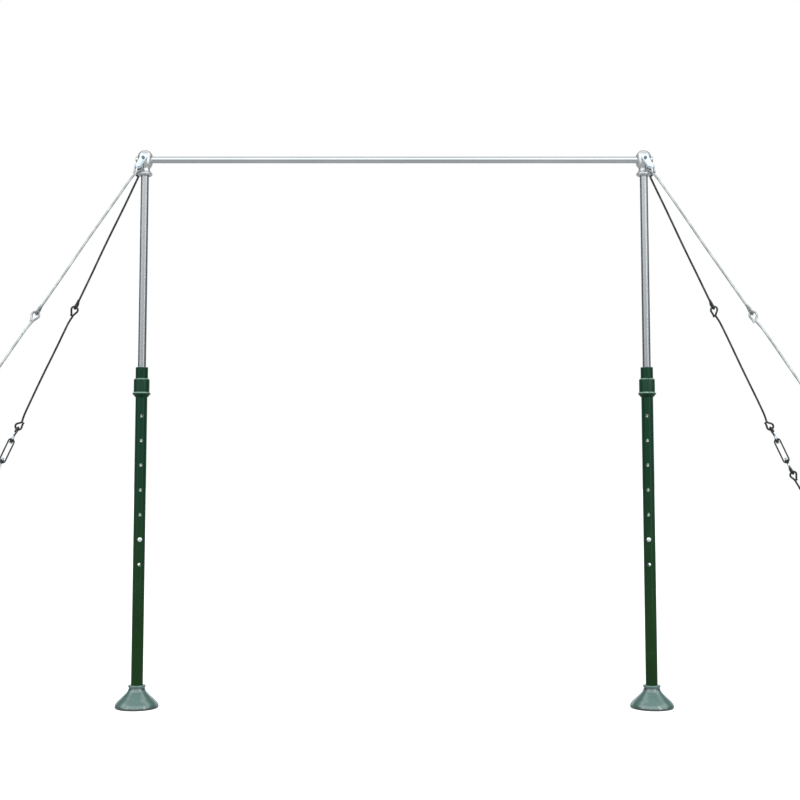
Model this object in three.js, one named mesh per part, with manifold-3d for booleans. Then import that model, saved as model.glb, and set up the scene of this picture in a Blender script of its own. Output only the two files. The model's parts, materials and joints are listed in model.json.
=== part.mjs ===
// A guyed, height-adjustable horizontal bar: two telescopic posts carry a steel bar between cast
// heads, and four guys made of linked steel rods run from the heads to anchors on the floor.
// Millimetres, +Z up. The origin is on the floor, midway between the posts; the bar runs along X
// and the front is -Y.
import * as THREE from "three";
import { mergeVertices } from "three/addons/utils/BufferGeometryUtils.js";
import Module from "manifold-3d";

const wasm = await Module();
wasm.setup();

// ---- Driving dimensions ----
const POST_SPACING = 2400; // between the post axes
const BAR_HEIGHT = 2592; // bar axis above the floor, in the sixth hole
const BAR_RADIUS = 16;
const OUTER_POST_RADIUS = 27.5;
const OUTER_POST_WALL = 3.2;
const INNER_POST_RADIUS = 19;
const INNER_POST_WALL = 2.5;
const FIT = 0.35; // gap between pieces that touch
const GUIDE_FIT = 0.6; // gap between pieces that slide on each other

const HOLE_TURN = THREE.MathUtils.degToRad(15); // of the pin holes, towards the middle of the bar
const HOLE_PITCH = 116;
const HOLE_RADIUS = 6.6;
const PIN_RADIUS = 6;
const PIN_HEIGHT = 778; // axis of the hole that holds the pin
const HOLES_ABOVE_PIN = 5;
const HOLES_BELOW_PIN = 1;

const FOOT_RADIUS = 101;
const FOOT_HEIGHT = 106;
const COLLAR_BOTTOM = 1448;
const COLLAR_TOP = 1536;
const SLEEVE_TOP = 1590;
const HEAD_BOTTOM = 2514;

const ROD_RADIUS = 5;
const EYE_RADIUS = 16.5; // to the middle of the rod that forms the eye
const EYE_GAP = 0.6; // left between two linked eyes
const GUY_SLOPE_OUT = 0.555; // sideways run of a guy for each unit of drop
const GUY_SLOPE_ALONG = 0.323; // front or rear run for each unit of drop
const PLATE_LENGTH = 46; // between the holes of a guy plate
const MIDDLE_ROD_LENGTH = 680;
const UPPER_ROD_LENGTH = { front: 859, rear: 752 };
const TURNBUCKLE_BODY_LENGTH = 146;
const TURNBUCKLE_SPAN = 244; // between the middles of its hook and its eye
const SHANK_RADIUS = 6;
const BOSS_LENGTH = 21;
const SCREW_END = 45; // from the middle of the turnbuckle body to the end of its screw

const LUG_HOLE_RADIUS = 12;
const LUG_RADIUS = 22;
const LUG_HOLE_HEIGHT = 34;
const LUG_GAP = 1.4; // clearance of the lowest eye in its lug

const ROUND = 20; // sides of a large round piece
const SMALL_ROUND = 12;

// ---- Materials ----
const finish = (color, roughness, metalness) =>
  new THREE.MeshStandardMaterial({ color, roughness, metalness });
const materials = {
  postPaint: finish(0x1c3a2a, 0.45, 0.1),
  footPaint: finish(0x5f7f78, 0.4, 0.1),
  galvanised: finish(0x9fa3a6, 0.5, 0.9),
  barSteel: finish(0xc9d0d2, 0.25, 1),
  casting: finish(0xc4c0bc, 0.5, 0.6),
  zinc: finish(0xd6e2ec, 0.35, 0.9),
  brightRod: finish(0xd4dad9, 0.35, 0.9),
  darkRod: finish(0x3b3e40, 0.45, 0.8),
  nylon: finish(0x202322, 0.6, 0),
};

// ---- Solids ----
function solid(geometry) {
  const bare = geometry.clone();
  bare.deleteAttribute("normal");
  bare.deleteAttribute("uv");
  const merged = mergeVertices(bare, 1e-4);
  return new wasm.Manifold(
    new wasm.Mesh({
      numProp: 3,
      vertProperties: new Float32Array(merged.attributes.position.array),
      triVerts: new Uint32Array(merged.index.array),
    }),
  );
}

function geometryOf(manifold) {
  const { vertProperties, triVerts } = manifold.getMesh();
  const geometry = new THREE.BufferGeometry();
  geometry.setAttribute("position", new THREE.BufferAttribute(vertProperties, 3));
  geometry.setIndex(new THREE.BufferAttribute(triVerts, 1));
  geometry.computeVertexNormals();
  return geometry;
}

const joined = (...geometries) => geometries.map(solid).reduce((whole, piece) => whole.add(piece));
const cutBy = (body, ...tools) => tools.map(solid).reduce((left, tool) => left.subtract(tool), body);

// A profile of [radius, height] turned about Z. It runs anticlockwise, with the height upwards.
function turned(profile, sides = ROUND) {
  const points = profile.map(([radius, height]) => new THREE.Vector2(radius, height));
  return new THREE.LatheGeometry(points, sides).rotateX(Math.PI / 2);
}

const turnedPath = (path, divisions, sides = ROUND) =>
  turned(
    path.getPoints(divisions).map((point) => [point.x, point.y]),
    sides,
  );

const ring = (inner, outer, bottom, top) =>
  turned([
    [inner, bottom],
    [outer, bottom],
    [outer, top],
    [inner, top],
    [inner, bottom],
  ]);

const rodZ = (radius, bottom, top, sides = SMALL_ROUND) =>
  new THREE.CylinderGeometry(radius, radius, top - bottom, sides)
    .rotateX(Math.PI / 2)
    .translate(0, 0, (bottom + top) / 2);

const rodY = (radius, start, end, sides = SMALL_ROUND) =>
  new THREE.CylinderGeometry(radius, radius, end - start, sides).translate(0, (start + end) / 2, 0);

const rodX = (radius, start, end, sides = SMALL_ROUND) =>
  new THREE.CylinderGeometry(radius, radius, end - start, sides)
    .rotateZ(Math.PI / 2)
    .translate((start + end) / 2, 0, 0);

const HEX_SIDES = 6;
const hexRadius = (acrossFlats) => acrossFlats / 2 / Math.cos(Math.PI / HEX_SIDES);

const root = new THREE.Group();

function place(name, shape, material, parent = root) {
  const geometry = shape.isBufferGeometry ? shape : geometryOf(shape);
  const mesh = new THREE.Mesh(geometry, material);
  mesh.name = name;
  parent.add(mesh);
  return mesh;
}

// ---- Posts ----
function foot() {
  const bore = OUTER_POST_RADIUS + FIT;
  const path = new THREE.Path();
  path.moveTo(88, 0); // inner edge of the ring that stands on the floor
  path.lineTo(96, 0);
  path.quadraticCurveTo(FOOT_RADIUS + 1, 1, FOOT_RADIUS, 9);
  path.bezierCurveTo(98, 27, 80, 38, 66, 52); // rounded shoulder
  path.bezierCurveTo(53, 65, 41, 76, 37.5, 92); // hollow neck
  path.lineTo(40, FOOT_HEIGHT - 11);
  path.lineTo(40, FOOT_HEIGHT - 3);
  path.lineTo(38, FOOT_HEIGHT);
  path.lineTo(bore, FOOT_HEIGHT);
  path.lineTo(bore, 10); // the post stands on the ledge below
  path.lineTo(20, 10);
  path.lineTo(20, 3);
  path.lineTo(36, 3);
  path.lineTo(36, 62);
  path.bezierCurveTo(50, 56, 86, 36, 90, 12); // underside of the shell
  path.lineTo(88, 0);
  return turnedPath(path, 3);
}

function outerPost() {
  const inner = OUTER_POST_RADIUS - OUTER_POST_WALL;
  const tube = solid(ring(inner, OUTER_POST_RADIUS, 10 + FIT, COLLAR_TOP - FIT));
  const holes = [];
  for (let step = -HOLES_BELOW_PIN; step <= HOLES_ABOVE_PIN; step++) {
    const across = rodY(HOLE_RADIUS, -OUTER_POST_RADIUS - 5, OUTER_POST_RADIUS + 5, 8);
    holes.push(across.translate(0, 0, PIN_HEIGHT + step * HOLE_PITCH));
  }
  return cutBy(tube, ...holes);
}

function collar() {
  const bore = OUTER_POST_RADIUS + FIT;
  const flange = 43;
  return turned([
    [bore, COLLAR_BOTTOM],
    [30, COLLAR_BOTTOM],
    [flange - 2, COLLAR_BOTTOM + 14],
    [flange, COLLAR_BOTTOM + 18],
    [flange - 1.5, COLLAR_BOTTOM + 22],
    [37, COLLAR_BOTTOM + 25],
    [37, COLLAR_TOP - 3],
    [34, COLLAR_TOP],
    [bore, COLLAR_TOP],
    [bore, COLLAR_BOTTOM],
  ]);
}

function guideSleeve() {
  const bore = INNER_POST_RADIUS + GUIDE_FIT;
  const spigot = OUTER_POST_RADIUS - OUTER_POST_WALL - FIT;
  const shoulder = COLLAR_TOP + FIT;
  return turned([
    [bore, shoulder - 40],
    [spigot, shoulder - 40],
    [spigot, shoulder],
    [29, shoulder],
    [29, SLEEVE_TOP - 2],
    [27, SLEEVE_TOP],
    [24, SLEEVE_TOP],
    [24, SLEEVE_TOP - 7], // wiper recess
    [bore, SLEEVE_TOP - 7],
    [bore, shoulder - 40],
  ]);
}

function heightPin() {
  const head = rodY(hexRadius(19), -OUTER_POST_RADIUS - 11, -OUTER_POST_RADIUS - 1, HEX_SIDES);
  const shank = rodY(PIN_RADIUS, -OUTER_POST_RADIUS - 3, OUTER_POST_RADIUS + 14);
  return joined(head, shank);
}

const INNER_POST_BOTTOM = PIN_HEIGHT + PIN_RADIUS + FIT + 6;
const SOCKET_DEPTH = 38;

const innerPost = () =>
  ring(
    INNER_POST_RADIUS - INNER_POST_WALL,
    INNER_POST_RADIUS,
    INNER_POST_BOTTOM + FIT,
    HEAD_BOTTOM + SOCKET_DEPTH - FIT,
  );

// The plug closes the inner post's lower end, centres it in the outer post and rests on the pin.
function glidePlug() {
  const flange = OUTER_POST_RADIUS - OUTER_POST_WALL - GUIDE_FIT;
  const spigot = INNER_POST_RADIUS - INNER_POST_WALL - FIT;
  const bottom = PIN_HEIGHT + PIN_RADIUS + FIT;
  return turned([
    [0, bottom],
    [flange, bottom],
    [flange, INNER_POST_BOTTOM],
    [spigot, INNER_POST_BOTTOM],
    [spigot, INNER_POST_BOTTOM + 28],
    [0, INNER_POST_BOTTOM + 28],
  ]);
}

// ---- Heads and bar ----
const HEAD_RADIUS = 37;
const TRUNNION = 45; // half the width over the bosses that carry the guy plates
const BAR_OVERHANG = 44; // bar past the post axis, out through the head
const BOLT_RADIUS = 5;
const BOLT_FLATS = 15;
const EYE_OFFSET = 36; // from the post's axis to the middle of a guy's upper eye
const PLATE_THICKNESS = 6;

function head() {
  const path = new THREE.Path();
  path.moveTo(0, HEAD_BOTTOM + SOCKET_DEPTH);
  path.lineTo(INNER_POST_RADIUS + FIT, HEAD_BOTTOM + SOCKET_DEPTH);
  path.lineTo(INNER_POST_RADIUS + FIT, HEAD_BOTTOM);
  path.lineTo(33, HEAD_BOTTOM);
  path.quadraticCurveTo(37, HEAD_BOTTOM + 8, 34, HEAD_BOTTOM + 17); // flange
  path.quadraticCurveTo(25, HEAD_BOTTOM + 20, 24.5, HEAD_BOTTOM + 33); // neck
  path.quadraticCurveTo(25, HEAD_BOTTOM + 42, 33, HEAD_BOTTOM + 48);
  path.quadraticCurveTo(HEAD_RADIUS, HEAD_BOTTOM + 56, HEAD_RADIUS, BAR_HEIGHT);
  path.lineTo(HEAD_RADIUS, BAR_HEIGHT + 10);
  path.absarc(0, BAR_HEIGHT + 10, HEAD_RADIUS, 0, Math.PI / 2);
  const body = joined(
    turnedPath(path, 3),
    rodY(16, -TRUNNION, TRUNNION, 16).translate(0, 0, BAR_HEIGHT),
  );
  return cutBy(
    body,
    rodX(BAR_RADIUS + FIT, -HEAD_RADIUS - 10, HEAD_RADIUS + 10, 20).translate(0, 0, BAR_HEIGHT),
    rodY(BOLT_RADIUS + FIT, -TRUNNION - 5, TRUNNION + 5).translate(0, 0, BAR_HEIGHT),
  );
}

function bar() {
  const end = POST_SPACING / 2 + BAR_OVERHANG;
  const hole = (x) => rodY(BOLT_RADIUS + FIT, -BAR_RADIUS - 5, BAR_RADIUS + 5).translate(x, 0, 0);
  return cutBy(
    solid(rodX(BAR_RADIUS, -end, end, 20)),
    hole(-POST_SPACING / 2),
    hole(POST_SPACING / 2),
  ).translate([0, 0, BAR_HEIGHT]);
}

const PLATE_OUTSIDE = TRUNNION + FIT + PLATE_THICKNESS + FIT;

function headBolt() {
  const bolt = joined(
    rodY(hexRadius(BOLT_FLATS), -PLATE_OUTSIDE - 7, -PLATE_OUTSIDE, HEX_SIDES),
    rodY(BOLT_RADIUS, -PLATE_OUTSIDE - 3, PLATE_OUTSIDE + 13),
  );
  return bolt.translate([0, 0, BAR_HEIGHT]);
}

function headNut() {
  const nut = solid(rodY(hexRadius(BOLT_FLATS), PLATE_OUTSIDE, PLATE_OUTSIDE + 8, HEX_SIDES));
  return cutBy(nut, rodY(BOLT_RADIUS + FIT, 0, PLATE_OUTSIDE + 20)).translate([0, 0, BAR_HEIGHT]);
}

for (const [sideName, side] of [
  ["left", -1],
  ["right", 1],
]) {
  const post = new THREE.Group();
  post.position.x = (side * POST_SPACING) / 2;
  root.add(post);
  place(`${sideName}_foot`, foot(), materials.footPaint, post);
  const turnedPost = new THREE.Group();
  turnedPost.rotation.z = -side * HOLE_TURN;
  post.add(turnedPost);
  place(`${sideName}_outer_post`, outerPost(), materials.postPaint, turnedPost);
  place(`${sideName}_collar`, collar(), materials.postPaint, post);
  place(`${sideName}_guide_sleeve`, guideSleeve(), materials.postPaint, post);
  place(`${sideName}_height_pin`, heightPin(), materials.zinc, turnedPost).position.z = PIN_HEIGHT;
  place(`${sideName}_inner_post`, innerPost(), materials.galvanised, post);
  place(`${sideName}_glide_plug`, glidePlug(), materials.nylon, post);
  place(`${sideName}_head`, head(), materials.casting, post);
  place(`${sideName}_head_bolt`, headBolt(), materials.zinc, post);
  place(`${sideName}_head_nut`, headNut(), materials.zinc, post);
}
place("bar", bar(), materials.barSteel);

// ---- Guys ----
// A guy's own frame has its origin at the middle of the upper eye and -Z along the guy. Its Y is as
// near to the part's Y as it can be, so an eye that is square to Y faces the front.
const EYE_PITCH = 2 * EYE_RADIUS - 2 * ROD_RADIUS - EYE_GAP; // between two linked eyes
const EYE_SEAT = EYE_RADIUS - ROD_RADIUS - PIN_RADIUS - EYE_GAP; // below the pin it hangs from

const eye = (turn) =>
  new THREE.TorusGeometry(EYE_RADIUS, ROD_RADIUS, 6, 12)
    .rotateX(Math.PI / 2)
    .rotateZ(turn);

// A rod from the middle of its upper eye, at the origin, to that of its lower one.
function eyeRod(length, upperEye, lowerEye) {
  const shaft = rodZ(ROD_RADIUS, -length + EYE_RADIUS, -EYE_RADIUS, 6);
  return joined(upperEye, shaft, lowerEye.translate(0, 0, -length));
}

// A flat plate with a round end about each of its two holes, the upper one at the origin.
function guyPlate() {
  const outline = new THREE.Shape();
  outline.absarc(0, 0, 16, 0, Math.PI);
  outline.absarc(0, -PLATE_LENGTH, 14, Math.PI, 2 * Math.PI);
  for (const [y, radius] of [
    [0, BOLT_RADIUS],
    [-PLATE_LENGTH, PIN_RADIUS],
  ]) {
    outline.holes.push(new THREE.Path().absarc(0, y, radius + FIT, 0, 2 * Math.PI, true));
  }
  const plate = new THREE.ExtrudeGeometry(outline, {
    depth: PLATE_THICKNESS,
    bevelEnabled: false,
    curveSegments: 6,
  });
  return plate.rotateX(Math.PI / 2).translate(0, PLATE_THICKNESS / 2, 0);
}

// The riveted pin that holds the upper eye against the plate, with a low head at each end.
function platePin(outside) {
  const plateOuter = TRUNNION + FIT + PLATE_THICKNESS;
  const span = (near, far) => (outside > 0 ? [near, far] : [-far, -near]);
  return joined(
    rodY(8, ...span(plateOuter + FIT, plateOuter + 3)),
    rodY(PIN_RADIUS, ...span(EYE_OFFSET - 9, plateOuter + 1)),
    rodY(8.5, ...span(EYE_OFFSET - 10, EYE_OFFSET - 7)),
  );
}

// The hook swivels in the turnbuckle body: a collar on its shank bears on the end of the window.
function turnbuckleHook() {
  const open = new THREE.BoxGeometry(16, 20, 12).translate(-17, 0, -12).rotateZ(Math.PI / 2);
  const windowEnd = (TURNBUCKLE_BODY_LENGTH - TURNBUCKLE_SPAN) / 2 - BOSS_LENGTH;
  const shank = rodZ(SHANK_RADIUS, windowEnd - 4, -EYE_RADIUS, 10);
  const swivel = rodZ(8.5, windowEnd - 6, windowEnd - FIT, 10);
  return cutBy(solid(eye(Math.PI / 2)), open).add(joined(shank, swivel));
}

const turnbuckleEye = () =>
  joined(eye(Math.PI / 2), rodZ(SHANK_RADIUS, EYE_RADIUS, TURNBUCKLE_SPAN / 2 - SCREW_END, 10));

// A long link of round bar with a boss at each end for the hook and for the screw.
function turnbuckleBody() {
  const half = TURNBUCKLE_BODY_LENGTH / 2;
  const outline = new THREE.Shape();
  outline.absellipse(0, half - 19, 19, 17, 0, Math.PI);
  outline.absellipse(0, 19 - half, 19, 17, Math.PI, 2 * Math.PI);
  const window = new THREE.Path();
  window.absellipse(0, half - BOSS_LENGTH, 10, 3, 0, Math.PI);
  window.absellipse(0, BOSS_LENGTH - half, 10, 3, Math.PI, 2 * Math.PI);
  outline.holes.push(window);
  const frame = new THREE.ExtrudeGeometry(outline, {
    depth: 9,
    bevelEnabled: false,
    curveSegments: 5,
  })
    .translate(0, 0, -4.5)
    .rotateX(Math.PI / 2);
  const boss = (top) => rodZ(10, top - BOSS_LENGTH, top);
  return cutBy(
    joined(frame, boss(half), boss(BOSS_LENGTH - half)),
    rodZ(SHANK_RADIUS + FIT, -half - 5, half + 5, 10),
  );
}

// A floor plate with an upright lug, which lies in the guy's own vertical plane.
function floorAnchor() {
  const lug = new THREE.Shape();
  lug.moveTo(-30, 4);
  lug.lineTo(30, 4);
  lug.lineTo(LUG_RADIUS, LUG_HOLE_HEIGHT);
  lug.absarc(0, LUG_HOLE_HEIGHT, LUG_RADIUS, 0, Math.PI);
  lug.holes.push(
    new THREE.Path().absarc(0, LUG_HOLE_HEIGHT, LUG_HOLE_RADIUS, 0, 2 * Math.PI, true),
  );
  const upright = new THREE.ExtrudeGeometry(lug, {
    depth: 7,
    bevelEnabled: false,
    curveSegments: 8,
  })
    .translate(0, 0, -3.5)
    .rotateX(Math.PI / 2);
  const screwHoles = [-1, 1].flatMap((x) =>
    [-1, 1].map((y) => rodZ(5.5, -5, 15, 10).translate(x * 38, y * 38, 0)),
  );
  return cutBy(joined(new THREE.BoxGeometry(110, 110, 8).translate(0, 0, 4), upright), ...screwHoles);
}

for (const [endName, end] of [
  ["front", -1],
  ["rear", 1],
]) {
  for (const [sideName, side] of [
    ["left", -1],
    ["right", 1],
  ]) {
    const name = `${endName}_${sideName}`;
    const rodFinish = end < 0 ? materials.brightRod : materials.darkRod;
    const down = new THREE.Vector3(side * GUY_SLOPE_OUT, end * GUY_SLOPE_ALONG, -1).normalize();

    // The plate hangs from the head bolt, in line with the guy as the front sees it.
    const plateGroup = new THREE.Group();
    plateGroup.position.set((side * POST_SPACING) / 2, 0, BAR_HEIGHT);
    plateGroup.rotation.y = -side * Math.atan(GUY_SLOPE_OUT);
    root.add(plateGroup);
    const plate = place(`${name}_guy_plate`, guyPlate(), materials.zinc, plateGroup);
    plate.position.y = end * (TRUNNION + FIT + PLATE_THICKNESS / 2);
    const pin = place(`${name}_plate_pin`, platePin(end), materials.zinc, plateGroup);
    pin.position.z = -PLATE_LENGTH;

    const guy = new THREE.Group();
    const seat = PLATE_LENGTH + EYE_SEAT;
    guy.position.set(
      side * (POST_SPACING / 2 + seat * Math.sin(Math.atan(GUY_SLOPE_OUT))),
      end * EYE_OFFSET,
      BAR_HEIGHT - seat * Math.cos(Math.atan(GUY_SLOPE_OUT)),
    );
    const zAxis = down.clone().negate();
    const tilt = Math.asin(zAxis.y);
    const yAxis = new THREE.Vector3(0, 1, 0).addScaledVector(zAxis, -zAxis.y).normalize();
    const xAxis = yAxis.clone().cross(zAxis);
    guy.quaternion.setFromRotationMatrix(new THREE.Matrix4().makeBasis(xAxis, yAxis, zAxis));
    root.add(guy);

    let along = 0; // distance down the guy to the next piece's upper eye
    const add = (piece, shape, material) => {
      place(`${name}_${piece}`, shape, material, guy).position.z = -along;
    };
    const upperLength = UPPER_ROD_LENGTH[endName];
    add("upper_rod", eyeRod(upperLength, eye(0).rotateX(tilt), eye(Math.PI / 2)), rodFinish);
    along += upperLength + EYE_PITCH;
    add("middle_rod", eyeRod(MIDDLE_ROD_LENGTH, eye(0), eye(0)), rodFinish);
    along += MIDDLE_ROD_LENGTH + EYE_PITCH;
    add("turnbuckle_hook", turnbuckleHook(), rodFinish);
    along += TURNBUCKLE_SPAN / 2;
    add("turnbuckle_body", turnbuckleBody(), rodFinish);
    along += TURNBUCKLE_SPAN / 2;
    add("turnbuckle_eye", turnbuckleEye(), rodFinish);
    along += EYE_PITCH;

    // The lower rod ends in an eye that hangs in the lug, square to the guy's vertical plane.
    const lugReach = LUG_HOLE_RADIUS - ROD_RADIUS - LUG_GAP + EYE_RADIUS;
    const lowestEye = LUG_HOLE_HEIGHT - lugReach * down.z;
    const lowerLength = (guy.position.z - lowestEye) / -down.z - along;
    const levelAcross = new THREE.Vector3(0, 0, 1).cross(down).normalize();
    const lowerTurn = Math.atan2(levelAcross.dot(yAxis), levelAcross.dot(xAxis));
    add("lower_rod", eyeRod(lowerLength, eye(0), eye(lowerTurn)), rodFinish);

    const anchor = place(`${name}_floor_anchor`, floorAnchor(), materials.galvanised);
    const toAnchor = along + lowerLength + lugReach;
    anchor.position.copy(guy.position).addScaledVector(down, toAnchor).setZ(0);
    anchor.rotation.z = Math.atan2(end * GUY_SLOPE_ALONG, side * GUY_SLOPE_OUT);
  }
}

export default root;
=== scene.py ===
import bpy
import bmesh
import json
import math
from mathutils import Matrix, Vector


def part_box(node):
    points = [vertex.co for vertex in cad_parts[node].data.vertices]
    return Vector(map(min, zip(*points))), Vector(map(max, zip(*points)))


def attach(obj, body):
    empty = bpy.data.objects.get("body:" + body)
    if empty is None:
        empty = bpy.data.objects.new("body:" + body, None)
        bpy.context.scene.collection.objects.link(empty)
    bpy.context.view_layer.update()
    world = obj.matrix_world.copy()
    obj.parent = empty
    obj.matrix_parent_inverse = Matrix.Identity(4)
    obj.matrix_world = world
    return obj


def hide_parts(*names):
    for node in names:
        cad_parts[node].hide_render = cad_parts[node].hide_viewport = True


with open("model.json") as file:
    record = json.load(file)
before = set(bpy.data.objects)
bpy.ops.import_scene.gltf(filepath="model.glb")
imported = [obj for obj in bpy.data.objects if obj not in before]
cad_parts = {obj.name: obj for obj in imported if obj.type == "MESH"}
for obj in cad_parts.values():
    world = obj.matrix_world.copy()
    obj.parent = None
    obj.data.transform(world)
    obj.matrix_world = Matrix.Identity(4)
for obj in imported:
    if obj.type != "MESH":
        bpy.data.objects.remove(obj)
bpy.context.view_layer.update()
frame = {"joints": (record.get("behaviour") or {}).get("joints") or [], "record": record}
MM = 0.001

# ---- Camera, floor and light ----

CAMERA_PLACE = (0.0, -6.222, 1.0835)
CAMERA_TILT = 0.0825  # radians above level
CAMERA_LENS = 59.08
CAMERA_SHIFT = (0.0071, -0.0430)
FLOOR_REACH = 90.0
FLOOR_DROP = 0.0005  # keeps the floor just clear of the undersides that stand on it
FLOOR_GREY = 0.5
FLOOR_GLOW = 0.9  # seen by the camera only, so that the floor runs into the white background
ROOM_COLOUR = (0.93, 0.99, 1.02, 1)
ROOM_BY_HEIGHT = (
    (0.0, 0.2), (0.5, 0.45), (0.56, 1.0), (0.61, 1.7), (0.86, 1.7), (0.94, 0.75), (1.0, 0.7),
)
ROOM_FRONT = (0, -0.8, 0.6)
ROOM_BY_FRONT = (
    (0.0, 0.8), (0.18, 0.7), (0.34, 0.1), (0.5, 0.09), (0.59, 0.2), (0.69, 0.9), (0.82, 1.0),
)
LIGHT_AIM = (0, 0, 1.3)
LIGHTS = (  # name, place, size, power
    ("overhead", (0.0, 1.4, 6.0), (6.0, 2.4), 28.0),
    ("right_strip", (3.4, -3.4, 2.0), (0.8, 4.2), 24.0),
    ("left_strip", (-3.9, -2.9, 2.0), (0.6, 4.2), 9.0),
)


def direction_ramp(tree, axis, stops):
    """Brightness by how far a direction points along axis, from 0 (opposite) to 1 (along it)."""
    coord = tree.nodes.new("ShaderNodeTexCoord")
    along = tree.nodes.new("ShaderNodeVectorMath")
    along.operation = "DOT_PRODUCT"
    along.inputs[1].default_value = axis
    tree.links.new(coord.outputs["Generated"], along.inputs[0])
    spread = tree.nodes.new("ShaderNodeMapRange")
    spread.inputs["From Min"].default_value = -1.0
    spread.inputs["From Max"].default_value = 1.0
    tree.links.new(along.outputs["Value"], spread.inputs["Value"])
    ramp = tree.nodes.new("ShaderNodeValToRGB")
    while len(ramp.color_ramp.elements) < len(stops):
        ramp.color_ramp.elements.new(0.5)
    for element, (place, level) in zip(ramp.color_ramp.elements, stops):
        element.position = place
        element.color = (level, level, level, 1)
    tree.links.new(spread.outputs["Result"], ramp.inputs["Fac"])
    return ramp.outputs["Color"]


def studio():
    camera_data = bpy.data.cameras.new("camera")
    camera_data.sensor_width = 36.0
    camera_data.lens = CAMERA_LENS
    camera_data.shift_x, camera_data.shift_y = CAMERA_SHIFT
    camera_data.clip_end = 200.0
    camera = bpy.data.objects.new("camera", camera_data)
    camera.location = CAMERA_PLACE
    camera.rotation_euler = (math.pi / 2 + CAMERA_TILT, 0.0, 0.0)
    bpy.context.scene.collection.objects.link(camera)
    bpy.context.scene.camera = camera
    bpy.context.scene.view_settings.view_transform = "Standard"

    floor_mesh = bpy.data.meshes.new("floor")
    corners = [(x * FLOOR_REACH, y * FLOOR_REACH, 0) for x, y in ((-1, -1), (1, -1), (1, 1), (-1, 1))]
    floor_mesh.from_pydata(corners, [], [(0, 1, 2, 3)])
    floor = bpy.data.objects.new("floor", floor_mesh)
    floor.location.z = -FLOOR_DROP
    bpy.context.scene.collection.objects.link(floor)
    floor_mesh.materials.append(floor_material())

    world = bpy.data.worlds.new("studio")
    bpy.context.scene.world = world
    world.use_nodes = True
    tree = world.node_tree
    tree.nodes.clear()
    out = tree.nodes.new("ShaderNodeOutputWorld")
    mix = tree.nodes.new("ShaderNodeMixShader")
    path = tree.nodes.new("ShaderNodeLightPath")
    seen = tree.nodes.new("ShaderNodeBackground")
    seen.inputs["Color"].default_value = (1, 1, 1, 1)
    seen.inputs["Strength"].default_value = 1.0
    room = tree.nodes.new("ShaderNodeBackground")
    room.inputs["Color"].default_value = ROOM_COLOUR
    both = tree.nodes.new("ShaderNodeMath")
    both.operation = "MULTIPLY"
    tree.links.new(direction_ramp(tree, (0, 0, 1), ROOM_BY_HEIGHT), both.inputs[0])
    tree.links.new(direction_ramp(tree, ROOM_FRONT, ROOM_BY_FRONT), both.inputs[1])
    tree.links.new(both.outputs[0], room.inputs["Strength"])
    tree.links.new(path.outputs["Is Camera Ray"], mix.inputs["Fac"])
    tree.links.new(room.outputs["Background"], mix.inputs[1])
    tree.links.new(seen.outputs["Background"], mix.inputs[2])
    tree.links.new(mix.outputs["Shader"], out.inputs["Surface"])

    for name, place, size, power in LIGHTS:
        light_data = bpy.data.lights.new(name, "AREA")
        light_data.shape = "RECTANGLE"
        light_data.size, light_data.size_y = size
        light_data.energy = power
        light = bpy.data.objects.new(name, light_data)
        light.location = place
        light.rotation_euler = (Vector(LIGHT_AIM) - Vector(place)).to_track_quat("-Z", "Y").to_euler()
        bpy.context.scene.collection.objects.link(light)


# ---- Materials ----


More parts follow.
